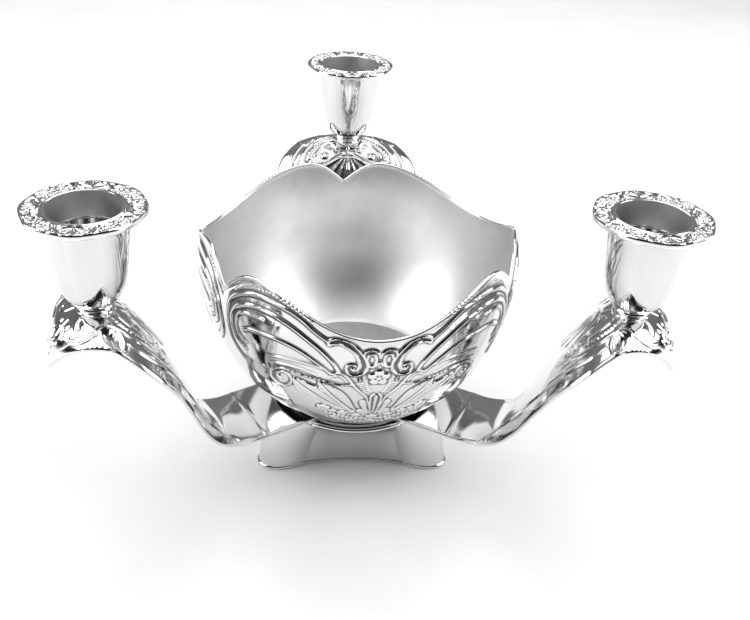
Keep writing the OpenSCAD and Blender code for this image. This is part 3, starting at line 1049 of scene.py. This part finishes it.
@dataclass
class Foot:
    """The triform foot: a round top, three concave sides, and a lobe between each pair of creases."""

    top_r: float = 31.5
    lobe_r: float = 41.6
    side_r: float = 18.4
    side_arc: float = 72.0
    flare: float = 0.45
    side_flare: float = 0.8
    crease_top: float = 35.5
    crease_low: float = 17.0
    crease_bend: float = 0.7
    height: float = 26.0
    sheet: float = 1.2
    hole_r: float = 3.1
    edge_bead: float = 0.75
    columns: int = 180
    rows: int = 64

    def wall(self, t: np.ndarray) -> tuple[np.ndarray, np.ndarray]:
        """The wall's face at rows of equal height.

        Args:
            t: the rows, 0 under the top plate and 1 at the table.

        Returns:
            The distance from the axis and the azimuth in degrees, a row for each height.
        """
        t = t[:, None]
        u = np.linspace(-1, 1, self.columns, endpoint=False)[None, :]
        away = np.abs(u)
        crease = self.crease_top + (self.crease_low - self.crease_top) * t**self.crease_bend
        f = np.where(away < 0.5, 2 * away * crease, crease + (60 - crease) * (2 * away - 1))
        side = np.radians(60 - np.maximum(f, crease))
        reach = self.side_r + self.side_arc
        low = reach * np.cos(side) - np.sqrt(self.side_arc**2 - (reach * np.sin(side)) ** 2)
        side_r = self.top_r + (low - self.top_r) * t**self.side_flare
        tip_r = self.top_r + (self.lobe_r - self.top_r) * t**self.flare
        r = side_r + (tip_r - side_r) * np.maximum(0, 1 - (f / crease) ** 2)
        turn = np.sign(u) * f
        return np.tile(r, len(ARMS)), np.concatenate([lobe + turn for lobe in ARMS.values()], 1)

    def build(self, finish: bpy.types.Material, inner: bpy.types.Material) -> bpy.types.Object:
        """Builds and dresses the foot.

        Args:
            finish: the outside's material.
            inner: the material under the foot, matt, with a dark tint that is painted shade inside the hollow.

        Returns:
            The foot.
        """
        wall_z = self.height - self.sheet
        t = np.linspace(1, 0, self.rows)
        face, turn = self.wall(t)
        z = wall_z * (1 - t)
        keep = z > 2 * self.edge_bead
        roll = np.radians(np.linspace(-90, 70, 9))[:, None]
        shoulder = np.radians(np.linspace(12, 90, 8))[:, None]
        thin = keep & (np.arange(self.rows) % 3 == 0)
        plate = np.linspace(self.top_r - 2, self.hole_r, 6)[:, None]
        rows = [
            (face[0] - 0.3 + self.edge_bead * np.cos(roll), self.edge_bead * (1 + np.sin(roll)), turn[:1]),
            (face[keep], z[keep, None], turn[keep]),
            (self.top_r + self.sheet * (np.cos(shoulder) - 1), wall_z + self.sheet * np.sin(shoulder), turn[-1:]),
            (plate, self.height, turn[-1:]),
            (plate[::-1], wall_z, turn[-1:]),
            (face[thin][::-1] - self.sheet, z[thin][::-1, None], turn[thin][::-1]),
            (face[:1] - self.sheet, 0.9 * self.edge_bead, turn[:1]),
            (face[:1] - 0.6, 0.0, turn[:1]),
        ]
        whole = [np.broadcast_arrays(r, height, np.radians(a)) for r, height, a in rows]
        r, height, a = (np.concatenate([row[k] for row in whole]) for k in range(3))
        grid = np.stack([r * np.cos(a), r * np.sin(a), height], -1)
        count, across = r.shape
        quads = grid_faces(count, across, loop=True)
        outer_rows = sum(len(row[0]) for row in whole[:4])
        # The inside and underside take the inner material, darkened as painted shade.
        material = (quads.min(1) // across >= outer_rows - 1).astype(int)
        foot = make_mesh("foot_shell", grid.reshape(-1, 3), quads.tolist(), [finish, inner], material)
        soften_normals(foot, 28)
        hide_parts("foot")
        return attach(foot, "stand")


# ---------------------------------------------------------------- cups and nozzles


@dataclass
class CandleCups:
    """The three polished cups, the collars under them and the nozzles that lift out."""

    axis_r: float = 97.25
    seat_z: float = 90.3
    flange_z: float = 123.3
    flange_r: float = 18.5
    socket_r: float = 11.33
    sleeve: float = 8.0
    plate: float = 0.8
    lip: float = 1.9
    bolder: float = 1.35
    repeats: int = 4
    half_repeat: float = 13.3
    scallop: float = 0.22
    turns: int = 480
    steps: int = 56

    def centre(self, azimuth: float) -> tuple[float, float]:
        """Where a cup's axis stands."""
        a = math.radians(azimuth)
        return self.axis_r * math.cos(a), self.axis_r * math.sin(a)

    def cup_profile(self) -> np.ndarray:
        """The cup's outside with its foot ring, and its inside.

        Returns:
            The (radius, height) points.
        """
        z = self.seat_z
        top = self.flange_z - 0.82
        mouth = self.socket_r + 0.56
        foot_ring = smooth_path([(5.5, z), (5.95, z + 0.25), (6.05, z + 0.6), (5.85, z + 0.95)], step=0.15)
        body = smooth_path([(6.1, z + 1.15), (6.9, z + 1.9), (8.4, 94), (9.7, 96.8), (10.6, 100), (11.3, 104),
                            (11.9, 109), (12.5, 114), (12.95, 118), (13.25, top - 0.25)], step=0.5)
        inside = smooth_path([(11.25, top - 8.7), (11, 109), (10.4, 104), (9.7, 100), (8.8, 98), (7.4, 97.4)], step=0.8)
        rim = [(13.2, top), (mouth, top), (mouth, top - 8.6)]
        return np.concatenate([[(0.01, z)], foot_ring, body, rim, inside, [(0.01, 97.4)]])

    def collar_profile(self) -> np.ndarray:
        """The small moulded seat between leaf and cup."""
        z = self.seat_z
        side = smooth_path([(5.9, z - 3.1), (5.9, z - 1.4), (5.2, z - 0.9), (5.3, z - 0.4), (5.1, z)], step=0.2)
        return np.concatenate([[(2.2, z - 3.1)], side, [(2.2, z)]])

    def flange_work(self) -> Relief:
        """Half a repeat of the flange's border, round it and out from its axis: a shell, a scroll and a flower.

        Returns:
            The relief of half a repeat.
        """
        work = Relief((-1, 11), (15, 19), pitch=0.07)
        shell = [(0, 12.9), (2.2, 12.8), (4.1, 13.6), (5, 15.1), (4.2, 16.6), (2.3, 17.6), (0, 17.3)]
        work.strokes([
            (shell, 0.9, 0.5),
            ([(6.1, 17.6), (5.9, 15.9), (6.7, 14.2), (8, 13.3), (9.3, 13.8), (9.2, 15), (8.2, 15.1)], 0.9, 0.5, 0.7),
            ([(6.9, 17.5), (8, 16.5), (9.6, 16.8)], 0.8, 0.4, 0.5),
            ([(9.9, 17.6), (11.8, 17.9), (13.4, 17.7)], 0.6, 0.35),
        ])
        for tip_x, tip_y in ((0, 16.6), (1.7, 16.5), (3.2, 15.5)):
            work.stroke([(0.15 * tip_x, 13.7), (tip_x, tip_y)], 0.5, 0.45, end_width=1.4)
        for x, y, radius, height in ((13.3, 15.2, 2.3, 0.5), (10.5, 16.2, 1.25, 0.4), (10.9, 13.5, 0.95, 0.4)):
            work.blossom(x, y, radius, 5, height)
        for x, y in ((5.7, 13.2), (7.4, 15.9), (12.2, 17.1), (5.2, 17.3)):
            work.bead(x, y, 0.5, 0.4)
        work.settle(reach=6, depth=0.2)
        work.height *= self.bolder
        return work

    def nozzle(self, name: str, azimuth: float, work: Relief, finish: bpy.types.Material,
               inside: bpy.types.Material) -> bpy.types.Object:
        """Builds one nozzle.

        Args:
            name: the nozzle's place.
            azimuth: the way its arm points.
            work: the flange's border.
            finish: the outside's material.
            inside: the material of the socket.

        Returns:
            The nozzle.
        """
        z, r0, r1 = self.flange_z, self.socket_r, self.flange_r
        across = np.linspace(r0 + 0.25, r1 - 0.55, self.steps)
        under = z - self.plate
        profile = np.concatenate([
            [(r0, under - self.sleeve), (r0, z - 4), (r0, z - 0.25)],
            np.stack([across, z + np.zeros(self.steps)], -1),
            [(r1 - 0.2, z - 0.2), (r1, z - 0.6), (r1, z - 1.6), (r1 - 0.25, z - self.lip), (r1 - 0.6, z - self.lip),
             (r1 - self.plate, z - 1.5), (r1 - self.plate, under), (15, under), (r0 + 0.5, under), (r0 + 0.5, z - 5),
             (r0 + 0.5, under - self.sleeve)],
        ])
        a = np.linspace(0, 2 * math.pi, self.turns, endpoint=False)[:, None]
        period = 2 * math.pi / self.repeats
        fold = np.abs((a + period / 2) % period - period / 2) * 2 * self.half_repeat / period
        whole = (self.turns, self.steps)
        raised, cavity = work.read(np.broadcast_to(fold, whole), np.broadcast_to(across, whole))
        crown = 0.12 * np.exp(-(((across - r0 - 0.7) / 0.5) ** 2)) - 0.5 * np.exp(-(((across - 15.1) / 2.5) ** 4))
        cols = len(profile)
        r = np.broadcast_to(profile[:, 0], (self.turns, cols)).copy()
        h = np.broadcast_to(profile[:, 1], r.shape).copy()
        # Points of the profile: the chased top, and the end of it with the rolled edge
        top, edge = slice(3, 3 + self.steps), slice(53, 67)
        h[:, top] += np.minimum(raised + crown - 0.12, -0.02)
        r[:, edge] += self.scallop * (np.cos(2 * self.repeats * a) - 1)
        x, y = self.centre(azimuth)
        grid = np.stack([x + r * np.cos(a), y + r * np.sin(a), h], -1)
        dark = np.zeros(r.shape)
        dark[:, top] = cavity
        quads = grid_faces(self.turns, cols, loop=True)
        j = np.arange(cols)
        material = np.tile((j < 2) | (j == cols - 1), self.turns).astype(int)
        made = make_mesh(f"nozzle_plate_{name}", grid.reshape(-1, 3), quads, [finish, inside], material,
                         dark.reshape(-1))
        soften_normals(made, 50)
        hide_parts(f"nozzle_{name}")
        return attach(made, f"nozzle_{name}")

    def build(self, polished: bpy.types.Material, chased: bpy.types.Material,
              inside: bpy.types.Material) -> list[bpy.types.Object]:
        """Builds and dresses the cups, collars and nozzles.

        Args:
            polished: the cups' material.
            chased: the flanges' material.
            inside: the sockets' material.

        Returns:
            Every piece made.
        """
        made = []
        work = self.flange_work()
        for name, azimuth in ARMS.items():
            cup = turned(f"cup_body_{name}", self.cup_profile(), self.centre(azimuth), polished)
            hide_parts(f"cup_{name}")
            collar = turned(f"cup_seat_{name}", self.collar_profile(), self.centre(azimuth), polished, 64)
            for piece, slot in ((cup, "silver_cup"), (collar, "silver_arm")):
                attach(piece, "stand")
            made += [cup, collar, self.nozzle(name, azimuth, work, chased, inside)]
        return made


# ---------------------------------------------------------------- plain pieces


@dataclass
class PlainPieces:
    """The floor plate in the bowl, and the hidden fasteners that keep their own shape."""

    floor_r: float = 32.4
    floor_z: float = 31.5
    floor_t: float = 0.8
    fasteners: tuple[str, ...] = ("hub_plate", "arm_rivets", "cup_washer", "cup_screw", "bowl_seat", "centre_stud",
                                  "stud_washer", "stud_nut")

    def build_floor(self, finish: bpy.types.Material) -> bpy.types.Object:
        """Builds and dresses the floor plate, with its rounded edge.

        Args:
            finish: the matt finish.

        Returns:
            The floor plate.
        """
        r, z, t = self.floor_r, self.floor_z, self.floor_t
        profile = np.array([(0.01, z), (r - 0.3, z), (r, z + 0.15), (r, z + 0.55), (r - 0.15, z + 0.72),
                            (r - 0.5, z + t), (20, z + t), (0.01, z + t)])
        plate = turned("bowl_floor_plate", profile, (0, 0), finish, 128)
        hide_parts("bowl_floor")
        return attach(plate, "bowl")

    def dress_fasteners(self, finish: bpy.types.Material) -> list[str]:
        """Gives the carried-over nodes their material.

        Args:
            finish: the plain steel.

        Returns:
            The names of the nodes that were dressed.
        """
        done = []
        for name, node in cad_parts.items():
            if name.startswith(self.fasteners):
                node.data.materials.clear()
                node.data.materials.append(finish)
                done.append(name)
        return done


# ---------------------------------------------------------------- the studio


@dataclass
class Studio:
    """A pale table in a dim room, with soft boxes and the camera."""

    lens: float = 43.03
    sensor: float = 36.0
    shift: tuple[float, float] = (0.0213, -0.0136)
    place: tuple[float, float, float] = (-0.02435, -0.28644, 0.23788)
    yaw: float = -5.03
    pitch: float = 31.34
    roll: float = 3.16
    table: float = 3.0

    def camera(self) -> None:
        """Stands the camera in front, looking down at the bowl."""
        data = bpy.data.cameras.new("camera")
        data.lens = self.lens
        data.sensor_width = self.sensor
        data.shift_x, data.shift_y = self.shift
        data.clip_start = 0.01
        yaw, pitch, roll = (math.radians(v) for v in (self.yaw, self.pitch, self.roll))
        ahead = Vector((-math.sin(yaw) * math.cos(pitch), math.cos(yaw) * math.cos(pitch), -math.sin(pitch)))
        level = Vector((math.cos(yaw), math.sin(yaw), 0))
        upright = level.cross(ahead)
        right = level * math.cos(roll) + upright * math.sin(roll)
        up = upright * math.cos(roll) - level * math.sin(roll)
        turn = Matrix((right, up, -ahead)).transposed()
        thing = bpy.data.objects.new("camera", data)
        thing.matrix_world = Matrix.Translation(self.place) @ turn.to_4x4()
        bpy.context.scene.collection.objects.link(thing)
        bpy.context.scene.camera = thing

    def table_top(self) -> None:
        """Lays the pale table."""
        half = self.table / MM
        corners = np.array([(-half, -half, 0), (half, -half, 0), (half, half, 0), (-half, half, 0)])
        made = bpy.data.materials.new("table_white")
        made.use_nodes = True
        g = Graph(made.node_tree)
        place = g.term("ShaderNodeTexCoord", "Object")
        mottle = g.term("ShaderNodeTexNoise", "Fac", Vector=place, Scale=14.0, Detail=3.0)
        colour = g.mix(mottle.band(0.3, 0.7), (0.9, 0.9, 0.9, 1), (0.94, 0.94, 0.94, 1))
        shader = g.node("ShaderNodeBsdfPrincipled", Base_Color=colour, Roughness=0.7, Specular_IOR_Level=0.2)
        g.node("ShaderNodeOutputMaterial", Surface=Term(g, shader.outputs[0]))
        top = make_mesh("table_top", corners, [(0, 1, 2, 3)], [made])

    def soft_box(self, name: str, place: tuple[float, float, float], aim: tuple[float, float, float], size: float,
                 power: float) -> None:
        """Hangs a square soft box.

        Args:
            name: its name.
            place: where it hangs.
            aim: what it points at.
            size: the length of its side.
            power: its power in watts.
        """
        data = bpy.data.lights.new(name, "AREA")
        data.shape = "SQUARE"
        data.size = size
        data.energy = power
        thing = bpy.data.objects.new(name, data)
        thing.visible_camera = False
        thing.location = place
        thing.rotation_euler = (Vector(aim) - Vector(place)).to_track_quat("-Z", "Y").to_euler()
        bpy.context.scene.collection.objects.link(thing)

    def room(self) -> None:
        """Surrounds the table with a dark room, lighter overhead, at the sides and behind."""
        world = bpy.data.worlds.new("room")
        bpy.context.scene.world = world
        world.use_nodes = True
        g = Graph(world.node_tree)
        way = g.term("ShaderNodeTexCoord", "Generated")
        parts = g.node("ShaderNodeSeparateXYZ", Vector=way)
        x, y, z = (Term(g, parts.outputs[k]) for k in range(3))
        overhead = z.band(0.55, 0.95)
        sides = (x * x).band(0.35, 0.8) * z.band(0.1, 0.4)
        back = y.band(0.2, 0.8)
        level = 0.015 + overhead * 0.3 + sides * 0.1 + back * 0.2
        shader = g.node("ShaderNodeBackground", Strength=level)
        shader.inputs["Color"].default_value = (1, 1, 1, 1)
        g.node("ShaderNodeOutputWorld", Surface=Term(g, shader.outputs[0]))

    def build(self) -> None:
        """Sets up the camera, the table and the lights."""
        self.camera()
        self.table_top()
        self.room()
        for box in (
            ("left", (-0.85, -0.1, 0.6), (0, 0, 0.03), 0.8, 9.0),
            ("right", (0.85, -0.05, 0.6), (0, 0, 0.03), 0.8, 8.5),
            ("back", (0.03, 0.75, 1.1), (0, 0.7, 0), 0.8, 6.0),
            ("top", (0.0, -0.1, 1.3), (0, 0, 0.05), 1.0, 3.0),
        ):
            self.soft_box(*box)
        settings = bpy.context.scene.view_settings
        settings.view_transform = "Standard"
        settings.look = "None"
        settings.exposure = 0.0


def main() -> None:
    """Builds every piece in order and reports it."""
    logging.basicConfig(level=logging.INFO, format="%(name)s: %(message)s")
    polished, chased, leaf, border = (f.material() for f in (POLISHED, CHASED, LEAF, BORDER))
    satin, floor, matt, steel = (f.material() for f in (SATIN, FLOOR, MATT_PAINTED_SHADE, STEEL))
    Studio().build()
    # The foot's inside takes the matt silver, whose dark tint is painted shade.
    pieces = [Foot().build(polished, matt)]
    pieces += Arm().build(leaf)
    pieces += CandleCups().build(polished, border, satin)
    pieces += Bowl().build(chased, satin)
    plain = PlainPieces()
    pieces.append(plain.build_floor(floor))
    for piece in pieces:
        log.info("%s: %d faces", piece.name, len(piece.data.polygons))
    log.info("kept as made: %s", ", ".join(plain.dress_fasteners(steel)))


if __name__ == "__main__":
    main()
